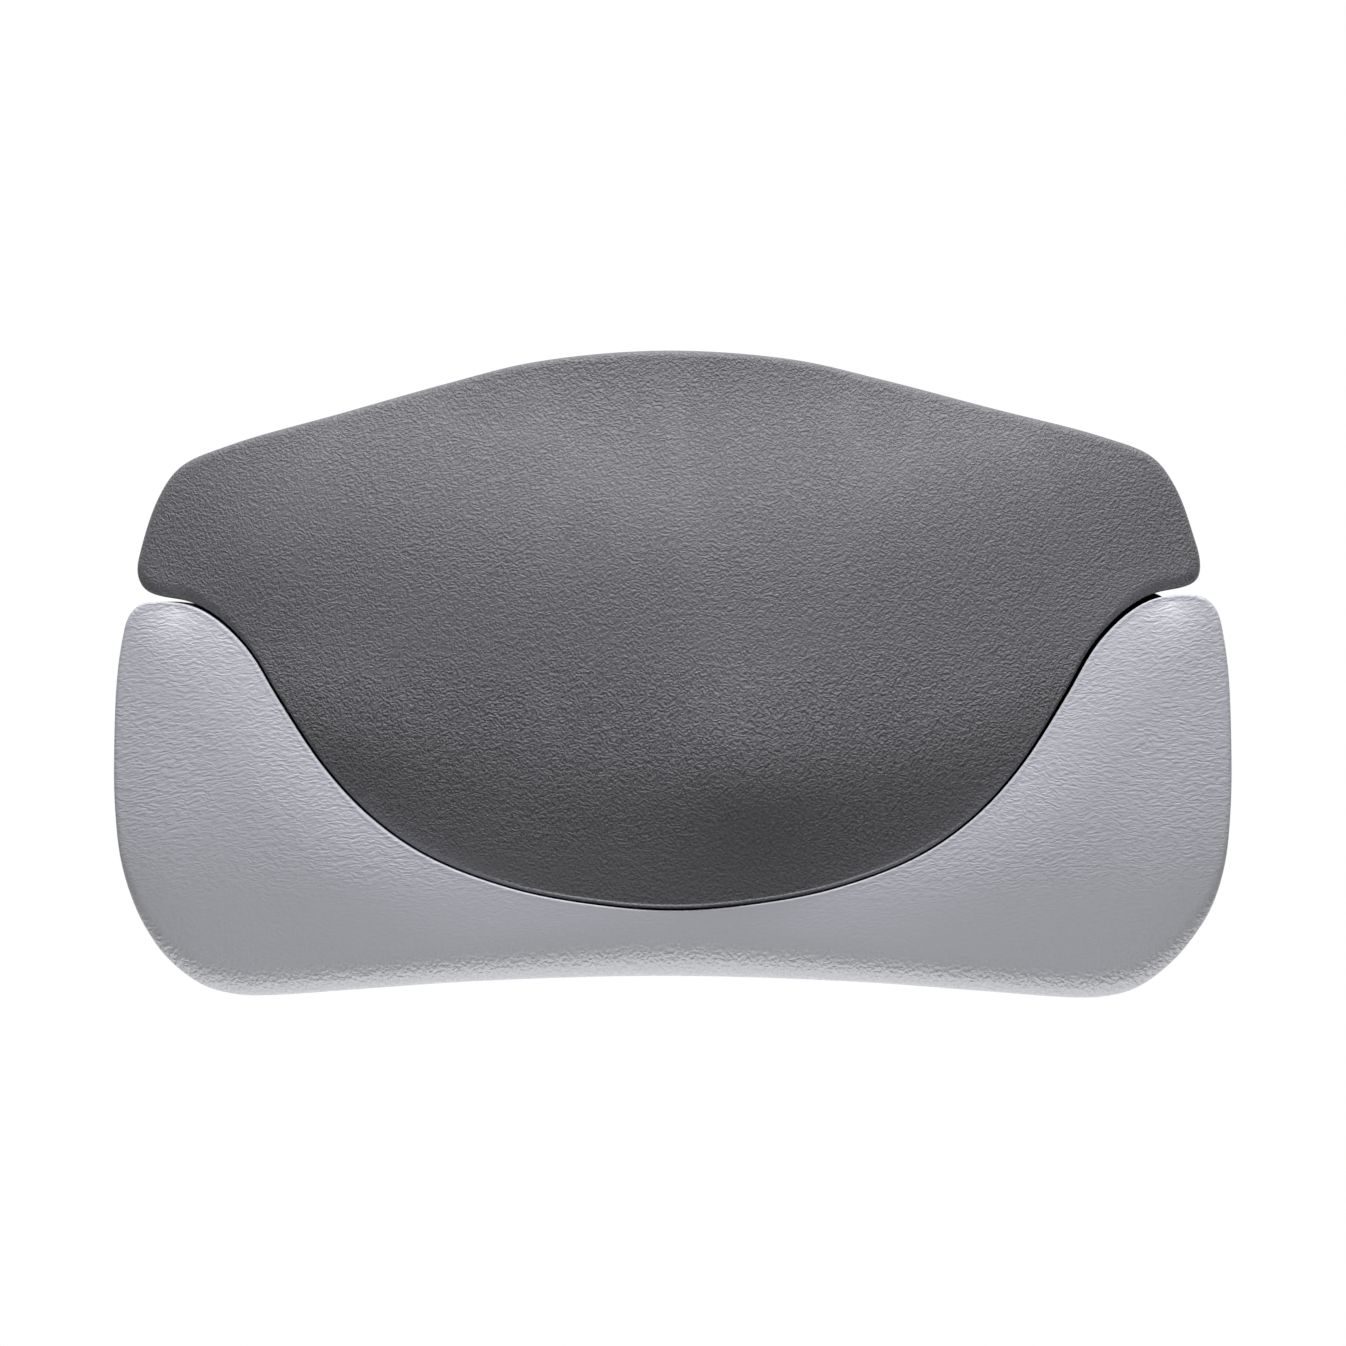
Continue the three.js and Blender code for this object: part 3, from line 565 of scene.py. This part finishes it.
def slab(name, outline, low, high):
    """A flat closed block between two depths, with the given outline."""
    centre = outline.mean(axis=0)
    middle = centre + 0 * outline
    corners = [(middle, low), (outline, low), (outline, high), (middle, high)]
    return closed_piece(name, np.stack([at_depth(flat, depth) for flat, depth in corners]))


head_cut = int(head_far_share * len(head_edge["points"]))
head_lower_edge = head_edge["points"][head_cut::2]


def beaded_face(x, z):
    """The face with a thin round bead along its lower edge: a Gaussian of the way from the bead's
    line, which fades out by the sixth power of the way aside from the bead's middle."""
    off = (way_in(x, z, head_lower_edge) - bead_inset) / bead_width
    return head_face(x, z) + bead_height * np.exp(-(off ** 2) - ((x - bead_middle) / bead_reach) ** 6)


def leather_grain(place, length, height, slant):
    """Short wavy wrinkles, drawn out along a slant: noise read where a noise 2.2 times as broad has
    shifted it."""
    wave = place.noise(2.2 * length, detail=1.0) - 0.5
    lifted = wave.node("ShaderNodeCombineXYZ", {}, {"X": wave * length, "Z": wave * (2.6 * height)})
    shifted = place.node("ShaderNodeVectorMath", {"operation": "ADD"}, {0: place, 1: lifted})
    return shifted.measured((length, height, height), slant).noise(0.9, detail=2.0, roughness=0.5)


def moulded_skin(name, colour, valley_shade_share, wrinkles, deeper, calm_from, depth, pebble, roughness):
    """Integral-skin polyurethane with a printed leather grain. Each of the wrinkles is a length, a
    height and a slant, and the kinds give way to one another over the pad. They are deeper below the
    pillow's middle, shallower again low on the pad, and turn into pebbles round its underside. The
    grain's valleys are painted a little darker, as painted shade in its creases, and are duller than
    its crests. Where the skin faces down, the pebbles' crests are painted lighter and their hollows
    darker, as painted light from below."""
    finish, place, feed = start_finish(name, Specular_IOR_Level=0.45)
    patch_size, cloud_size, pore_size, calming_height = 0.045, 0.03, 0.0005, 0.014
    grain = leather_grain(place, *wrinkles[0])
    for turn, wrinkle in enumerate(wrinkles[1:]):
        share = place.measured((1.0, 1.0, 1.0), 1.3 * turn).noise(patch_size).step(0.42, 0.58)
        grain = grain * (1 - share) + leather_grain(place, *wrinkle) * share
    grain = grain.step(0.3, 0.7)
    height = place.node("ShaderNodeSeparateXYZ", {}, {0: place}, output="Z")
    calm = 1 - 0.7 * (0 - height).step(calm_from, calm_from + calming_height)
    calm = calm * (1 + deeper * (0 - height).step(-0.01, 0.01))
    facing = place.node("ShaderNodeNewGeometry", output="Normal")
    under = (0 - facing.node("ShaderNodeSeparateXYZ", {}, {0: facing}, output="Z")).step(0.08, 0.7)
    pebbles = place.measured((1.0, 2.0, 1.0)).noise(pebble, detail=1.0).step(0.25, 0.75)
    grain = 0.5 + (grain - 0.5) * calm * (1 - under)
    relief = grain + 2.0 * pebbles * under
    pores = place.noise(pore_size, detail=1.0)
    cloud = place.noise(cloud_size, detail=2.0)
    # The grain's valleys get a darker colour: painted shade in the creases of the grain.
    painted_valley_shade = tuple(valley_shade_share * channel for channel in colour[:3]) + (1.0,)
    # Where the skin faces down, the pebbles' crests are painted lighter and their hollows darker: painted
    # light from below on the underside.
    feed("Base Color", (0.85 * (grain + (pebbles - 0.5) * under) + 0.15 * cloud).tint(painted_valley_shade, colour))
    feed("Roughness", roughness + 0.06 * (cloud - 0.5) - 0.05 * grain)
    feed("Normal", (relief + 0.15 * pores).bump(depth))
    return finish


def core_foam():
    """Flexible polyurethane foam: cream, dull, with open cells of half a millimetre."""
    finish, place, feed = start_finish("core_foam", Roughness=0.95, Specular_IOR_Level=0.2)
    cells = place.node("ShaderNodeTexVoronoi", {"feature": "F1"}, {"Vector": place, "Scale": 1800.0})
    cells = cells.step(0.1, 0.6)
    feed("Base Color", cells.tint((0.5, 0.46, 0.38, 1.0), (0.76, 0.73, 0.64, 1.0)))
    feed("Normal", (1 - cells).bump(0.0002))
    return finish


foam = core_foam()
screw_socket_radius = 0.0049
screw_socket_front = 0.0308
screw_socket_steps = 32


def pad_piece(name, spots, face, radius, inset, back, inner_steps=36):
    """The closed form of a pad, or of what lies an inset inside it."""
    points, number = pad_points(spots, face, radius, inset, back, inner_steps=inner_steps)
    return piece_of(name, points, ring_triangles(number))


def core_piece(name, node, spots, face, radius, screws):
    """A pad's foam core, with a socket for each boss of the insert."""
    core_back = skin_inside + core_gap
    core = pad_piece(name, spots, face, radius, skin_thickness + core_gap, core_back, inner_steps=16)
    core.data.materials.append(foam)
    turn = np.linspace(0, 2 * pi, screw_socket_steps, endpoint=False)
    circle = screw_socket_radius * np.stack([np.cos(turn), np.sin(turn)], axis=1)
    for screw in screws:
        low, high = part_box(screw)
        centre = (low + high) / 2
        socket = slab("socket", circle + (centre.x, centre.z), core_back - overrun, screw_socket_front)
        cut_away(core, socket)
    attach(core, "pillow")
    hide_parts(node)


def skin_piece(name, node, spots, face, radius, opening, finish):
    """A pad's skin: the closed outside less the inside, and less a block where the insert goes in."""
    skin = pad_piece(name, spots, face, radius, 0.0, pad_back)
    skin.data.materials.append(finish)
    inside = pad_piece("inside", spots, face, radius, skin_thickness, skin_inside, inner_steps=16)
    cut_away(skin, inside, opening)
    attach(skin, "pillow")
    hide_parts(node)
    return skin


# The front edge is rounded least along the bottom, and most under the ears
head_spots = pad_spots(head_edge, head_far_share, steps=220)
facing_down = (1 + head_spots["inward"][:, 1]) / 2
head_radius = head_upper_radius + (head_lower_radius - head_upper_radius) * facing_down
past_ear_start = np.abs(head_spots["points"][:, 0]) - head_ear_start
at_ear = np.clip(past_ear_start / head_ear_width, 0, 1) ** 2 * facing_down
head_radius = head_radius + (head_ear_radius - head_radius) * at_ear
head_opening_shares = [
    (0.0, 0.863), (0.644, 0.717), (0.7, 0.597), (0.588, 0.372), (0.35, 0.133), (0.0, 0.08),
]
insert_clearance = 1.002
opening_right = head_point(head_opening_shares) * insert_clearance
head_opening = np.concatenate([opening_right, (opening_right * (-1, 1))[-2:0:-1]])[::-1]
skin_piece(
    "head_pad_skin", "head_pad_cover", head_spots, beaded_face, head_radius,
    slab("opening", head_opening, *opening_depths),
    moulded_skin(
        "dark_grey_skin", (0.187, 0.186, 0.193, 1.0), 0.82,
        [(0.00082, 0.0007, 0.6), (0.00095, 0.0007, 0.0), (0.00082, 0.0007, 0.3)],
        deeper=0.9, calm_from=0.040, depth=0.00022, pebble=0.0008, roughness=0.52,
    ),
)
core_piece(
    "head_pad_core", "head_pad_foam", head_spots, head_face, head_radius,
    [f"head_screw_{n}" for n in (1, 2, 3, 4)],
)


# Neck pad. Pale grey integral skin over foam, like the head pad: a U that cradles it, two towers
# joined by a band. Its inner edge keeps a narrow gap to the head pad, wider towards the ears.
seam_gap = 0.0005
ear_gap = 0.0018
tower_start_share = 0.078
band_thickness = 0.0364
tower_rise = 0.0040
tower_rise_width = 0.070
seam_drop = 0.0025
seam_drop_width = 0.022
outer_drop = 0.0010
outer_drop_width = 0.016
foot_slope = 0.12
foot_slope_aside = 0.15
foot_slope_width = 0.090
foot_fold = -0.052
foot_softness = 0.009
neck_seam_radius = 0.0015
neck_outer_radius = 0.0018
neck_bottom_radius = 0.0090
neck_middle_radius = 0.0160
neck_middle_width = 0.060
neck_outer_shares = [
    (0.346, 0.035), (0.561, 0.014), (0.722, -0.002), (0.779, 0.0), (0.838, 0.022), (0.9, 0.087),
    (0.94, 0.159), (0.967, 0.231), (0.989, 0.337), (0.999, 0.478), (1.0, 0.61), (0.995, 0.798),
    (0.985, 0.904), (0.974, 0.963), (0.953, 0.995), (0.925, 1.003),
]
neck_down_power = 1.5
neck_up_cut = 0.6
neck_arch_share = 0.0480
foot_aside = -0.0013
foot_aside_heights = (-0.080, -0.060)
neck_outer_margin = 0.0062
neck_seam_margin = 0.0037
neck_spot_steps = 380
opening_end = 53


def seam_points(shares):
    """The head pad's lower edge, from the right ear's tip to the bottom, moved out by a gap that
    narrows as the cube of the way to the bottom."""
    shares = np.asarray(shares)
    points, inward = on_loop(head_loop, 1 - shares * (1 - head_far_share) / 2)
    gap = seam_gap + (ear_gap - seam_gap) * (1 - shares) ** 3
    return points - gap[:, None] * inward


seam_right = seam_points(np.linspace(tower_start_share, 1, 60))
tower_top = seam_right[0]
tower_height = tower_top[1] - pillow_bottom
outer_right = np.asarray(neck_outer_shares) * (pillow_half_width, tower_height) + (0, pillow_bottom)
arch = [(0.0, pillow_bottom + neck_arch_share * tower_height)]
neck_corners = np.concatenate([
    [tower_top * (-1, 1)], (outer_right * (-1, 1))[::-1], arch, outer_right, seam_right,
    (seam_right * (-1, 1))[-2:0:-1],
])
neck_corners[:, 0] += np.interp(neck_corners[:, 1], foot_aside_heights, (foot_aside, 0.0))
neck_loop = smooth_loop(neck_corners, ease=0.0012)
neck_far_share = neck_loop["point_shares"][2 * len(outer_right) + 2]
neck_edge = sagged(neck_loop, 0.0)
neck_spots = pad_spots(neck_edge, neck_far_share, neck_spot_steps)
neck_count = len(neck_spots["points"])
neck_tip = neck_spots["tips"][1]
neck_cut = int(neck_far_share * len(neck_edge["points"]))
neck_outer_edge = neck_edge["points"][:neck_cut:4]
neck_seam_edge = neck_edge["points"][neck_cut::4]


def neck_face(x, z):
    """How far the face stands from the wall. The towers rise from the band between them as one less
    a Gaussian of the way out. They drop to the seam as the square of what is left of a width, and so
    does the whole face to the outer edge. The lower part falls back past a soft fold, more steeply
    aside, by a share of one less the exponential of the fourth power of the way out."""
    tower = 1 - np.exp(-((x / tower_rise_width) ** 2))
    aside = 1 - np.exp(-((x / foot_slope_width) ** 4))
    foot = (foot_slope + foot_slope_aside * aside) * soft_fold(foot_fold - z, foot_softness)
    to_seam = np.maximum(0, 1 - way_in(x, z, neck_seam_edge) / seam_drop_width) ** 2
    to_outside = np.maximum(0, 1 - way_in(x, z, neck_outer_edge) / outer_drop_width) ** 2
    raised = tower * (tower_rise - seam_drop * to_seam)
    return pad_back + band_thickness + raised - foot - outer_drop * to_outside


# The front edge is rounded most in the middle of the bottom, and least where it faces up
outside = np.arange(neck_count) <= neck_tip
neck_radius = np.where(outside, neck_outer_radius, neck_seam_radius)
down = np.maximum(0, neck_spots["inward"][:, 1]) * outside
up = np.maximum(0, -neck_spots["inward"][:, 1])
in_middle = np.exp(-((neck_spots["points"][:, 0] / neck_middle_width) ** 2))
bottom_radius = neck_bottom_radius + (neck_middle_radius - neck_bottom_radius) * in_middle
neck_radius = neck_radius + (bottom_radius - neck_radius) * down ** neck_down_power
neck_radius = neck_radius * (1 - neck_up_cut * up ** 2)

# The insert is the same on both sides, so its opening follows the outline without what makes the pad
# hang lower at the left ear and sit aside at the foot
level_spots = pad_spots(neck_loop, neck_far_share, neck_spot_steps)
neck_margins = np.where(outside, neck_outer_margin, neck_seam_margin)[:, None]
neck_rim = level_spots["points"] + neck_margins * level_spots["inward"]
neck_rim[:, 0] -= np.interp(neck_rim[:, 1], foot_aside_heights, (foot_aside, 0.0))
neck_opening = np.concatenate([
    neck_rim[opening_end:neck_tip - opening_end + 1:2], neck_rim[neck_tip + opening_end:1 - opening_end:2],
])


def strip_slab(name, rim, low, high):
    """A flat closed block between two depths over a strip, whose rim runs out along one side and back
    along the other."""
    half = len(rim) // 2
    outer, inner = rim[:half], rim[half:2 * half][::-1]
    corners = [(outer, low), (inner, low), (inner, high), (outer, high)]
    rings = np.stack([at_depth(flat, depth) for flat, depth in corners], axis=1)
    ends = rings[[0, -1]].mean(axis=1, keepdims=True) + 0 * rings[[0, -1]]
    return closed_piece(name, np.concatenate([ends[:1], rings, ends[1:]]))


neck_skin = skin_piece(
    "neck_pad_skin", "neck_pad_cover", neck_spots, neck_face, neck_radius,
    strip_slab("opening", neck_opening, *opening_depths),
    moulded_skin(
        "pale_grey_skin", (0.529, 0.532, 0.562, 1.0), 0.9,
        [(0.0020, 0.00076, 0.0), (0.0018, 0.00076, 0.16), (0.0020, 0.00076, -0.16)],
        deeper=0.0, calm_from=0.050, depth=0.000105, pebble=0.0010, roughness=0.5,
    ),
)
core_piece(
    "neck_pad_core", "neck_pad_foam", neck_spots, neck_face, neck_radius,
    [f"neck_screw_{n}" for n in (1, 2, 3, 4)],
)


# Screws. Pan-head self-tapping screws of bright zinc-plated steel with a cross recess, driven from
# behind through the carrier into the inserts' bosses.
def plated_steel():
    """Zinc-plated steel: a faint brushing round the head and a slight mottling of the plating."""
    finish, place, feed = start_finish("zinc_plated_steel", Metallic=1.0)
    mottle = place.noise(0.0012, detail=2.0)
    feed("Base Color", mottle.tint((0.5, 0.5, 0.51, 1.0), (0.68, 0.68, 0.69, 1.0)))
    feed("Roughness", 0.24 + 0.16 * mottle)
    feed("Normal", place.noise(0.0002, detail=1.0).bump(0.000006))
    return finish


screw_steel = plated_steel()
screw_head_radius = 0.0035
screw_head_height = 0.0024
screw_head_roundings = [0.0005, 0.0002]
screw_brim_height = 0.0008
screw_face_radius = 0.0029
screw_face_crown = 0.0001
screw_core_radius = 0.0014
screw_point_length = 0.002
screw_turn_steps = 64
screw_face_steps = 20
screw_shank_steps = 110
screw_point_steps = 16
thread_radius = 0.00185
thread_pitch = 0.0013
thread_start = 0.0001
thread_fade = 0.003
recess_arm = 0.002
recess_arm_slope = 0.0003
recess_half_width = 0.0004
recess_wall_slope = 0.00012
recess_depth = 0.0013


def screw_piece(name, node):
    """A turned screw. Its head's face is sunk by a cross whose walls slope a little, and its shank
    swells by a ridge that climbs one pitch a turn and fades out at the point."""
    low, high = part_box(node)
    back, tip = -high.y, -low.y
    neck, shank_end = back + screw_head_height, tip - screw_point_length
    angles = np.linspace(0, 2 * pi, screw_turn_steps, endpoint=False)
    face_radius = np.linspace(0, screw_face_radius, screw_face_steps)
    dome = np.stack([face_radius, back + screw_face_crown * (face_radius / screw_face_radius) ** 2], axis=1)
    head_corners = [
        (screw_face_radius, back + screw_face_crown), (screw_head_radius, back + screw_brim_height),
        (screw_head_radius, neck), (thread_radius, neck),
    ]
    head = rounded_profile(head_corners, screw_head_roundings)
    shank_depth = np.linspace(neck, shank_end, screw_shank_steps)
    shank = np.stack([np.full(screw_shank_steps, screw_core_radius), shank_depth], axis=1)
    point_radius = np.linspace(screw_core_radius, 0, screw_point_steps)
    point = np.stack([point_radius, np.linspace(shank_end, tip, screw_point_steps)], axis=1)
    radius, depth = np.concatenate([dome, head[1:], shank, point[1:]]).T
    radius, depth = radius[:, None] + 0 * angles, depth[:, None] + 0 * angles
    sideways, upwards = np.abs(radius * np.cos(angles)), np.abs(radius * np.sin(angles))
    arm = np.minimum(sideways, upwards)
    walls = np.clip((recess_half_width - arm) / recess_wall_slope + 0.5, 0, 1)
    ends = np.clip((recess_arm - radius) / recess_arm_slope + 0.5, 0, 1)
    on_face = depth < back + 2 * screw_face_crown
    depth = depth + on_face * recess_depth * walls * ends * (1 - 0.5 * radius / recess_arm)
    turn = (depth - neck) / thread_pitch - angles / (2 * pi)
    ridge = np.clip(1 - np.abs((turn % 1) - 0.5) * 4, 0, 1)
    fade = np.clip((tip - depth) / thread_fade, 0, 1) * (depth > neck + thread_start)
    radius = radius + fade * ridge * (thread_radius - screw_core_radius)
    piece = closed_piece(name, turned_rings(radius, depth, angles, (low + high) / 2), crease=30)
    piece.data.materials.append(screw_steel)
    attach(piece, "pillow")
    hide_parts(node)


for pad in ("head", "neck"):
    for turn in (1, 2, 3, 4):
        screw_piece(f"{pad}_pad_screw_{turn}", f"{pad}_screw_{turn}")


# Floor, light and camera. The pillow hangs over a plain pale floor before a white background. A wide
# lamp stands high in front of it, a long low one lights the neck pad alone from below, and the camera
# looks at its face from a little to the right.
def stage_floor(depth_below, radius):
    """A round floor: flat in the middle, and see-through towards its rim, so that it has no edge."""
    turn = np.linspace(0, 2 * pi, 96, endpoint=False)
    circle = radius * np.stack([np.cos(turn), np.sin(turn), 0 * turn], axis=1) + (0, 0, -depth_below)
    points = np.stack([circle * (0, 0, 1), circle])
    number = np.arange(points.shape[0] * points.shape[1]).reshape(points.shape[:2])
    number[0] = 0
    floor = piece_of("floor", points, ring_triangles(number)[:, ::-1])
    finish = bpy.data.materials.new("pale_floor")
    finish.use_nodes = True
    start = Shade(finish.node_tree)
    place = start.node("ShaderNodeTexCoord", output="Object")
    away = place.node("ShaderNodeVectorMath", {"operation": "LENGTH"}, {0: place}, output="Value")
    faded = away.step(0.45 * radius, 0.95 * radius)
    unseen = start.node("ShaderNodeLightPath", output="Is Diffuse Ray")
    pale = start.node("ShaderNodeBsdfDiffuse", {}, {"Color": (0.86, 0.86, 0.86, 1.0)})
    clear = start.node("ShaderNodeBsdfTransparent")
    unshown = faded.math("MAXIMUM", faded, unseen)
    mixed = start.node("ShaderNodeMixShader", {}, {0: unshown, 1: pale, 2: clear})
    finish.node_tree.links.new(mixed.socket, finish.node_tree.nodes["Material Output"].inputs["Surface"])
    floor.data.materials.append(finish)


def aim(piece, place, target):
    """Puts a lamp or camera at a place, looking at a target."""
    piece.location = place
    piece.rotation_euler = (Vector(target) - Vector(place)).to_track_quat("-Z", "Y").to_euler()
    bpy.context.scene.collection.objects.link(piece)


def place_round(azimuth, elevation, distance, target):
    """A place at a distance from a target. Azimuth 0 is straight in front of it, and turns to its right."""
    turn, rise = radians(azimuth), radians(elevation)
    way = (sin(turn) * cos(rise), -cos(turn) * cos(rise), sin(rise))
    return tuple(centre + distance * part for centre, part in zip(target, way))


def soft_lamp(name, place, target, size, power, colour):
    """A rectangular lamp of a size in metres and a power in watts."""
    lamp = bpy.data.lights.new(name, "AREA")
    lamp.shape = "RECTANGLE"
    lamp.size, lamp.size_y = size
    lamp.energy = power
    lamp.color = colour
    lamp_object = bpy.data.objects.new(name, lamp)
    aim(lamp_object, place, target)
    return lamp_object


pillow_middle = (0.0, -0.035, 0.0)
stage_floor(depth_below=0.42, radius=1.5)
high_place = place_round(4, 60, 1.0, pillow_middle)
soft_lamp("high lamp", high_place, pillow_middle, (0.5, 0.4), 16.2, (0.98, 0.985, 1.03))
low_lamp = soft_lamp("low lamp", (0.0, -0.05, -0.36), (0.0, -0.04, -0.08), (0.7, 0.08), 1.4, (1.0, 1.0, 1.0))
low_lit = bpy.data.collections.new("lit from below")
low_lit.objects.link(neck_skin)
low_lamp.light_linking.receiver_collection = low_lit

# The surround is white to the camera and through the clear cups, and lights the pillow mostly from
# behind
world = bpy.data.worlds.new("studio")
world.use_nodes = True
bpy.context.scene.world = world
surround = Shade(world.node_tree)
seen = surround.node("ShaderNodeLightPath", output="Is Camera Ray")
seen_through = surround.node("ShaderNodeLightPath", output="Is Transmission Ray")
behind = surround.node("ShaderNodeTexCoord", output="Generated")
behind = behind.node("ShaderNodeSeparateXYZ", {}, {0: behind}, output="Y").step(-0.1, 0.4)
front_glow = 0.06
level = front_glow + (1 - front_glow) * behind
level = level.math("MAXIMUM", level, level.math("MAXIMUM", seen, seen_through))
background = world.node_tree.nodes["Background"]
background.inputs["Color"].default_value = (1.0, 1.0, 1.0, 1.0)
world.node_tree.links.new(level.socket, background.inputs["Strength"])

# The photograph's width in pixels and the size of one at the pillow give the lens
camera_distance = 2.5
photo_pixels = 1346
pixel_size = 0.0002704
camera = bpy.data.cameras.new("camera")
camera.sensor_width = 36.0
camera.lens = camera.sensor_width * camera_distance / (photo_pixels * pixel_size)
camera_object = bpy.data.objects.new("camera", camera)
photo_middle = (-0.0007, -0.035, 0.0001)
aim(camera_object, place_round(3.5, 0.5, camera_distance, photo_middle), photo_middle)
bpy.context.scene.camera = camera_object
bpy.context.scene.view_settings.view_transform = "Standard"
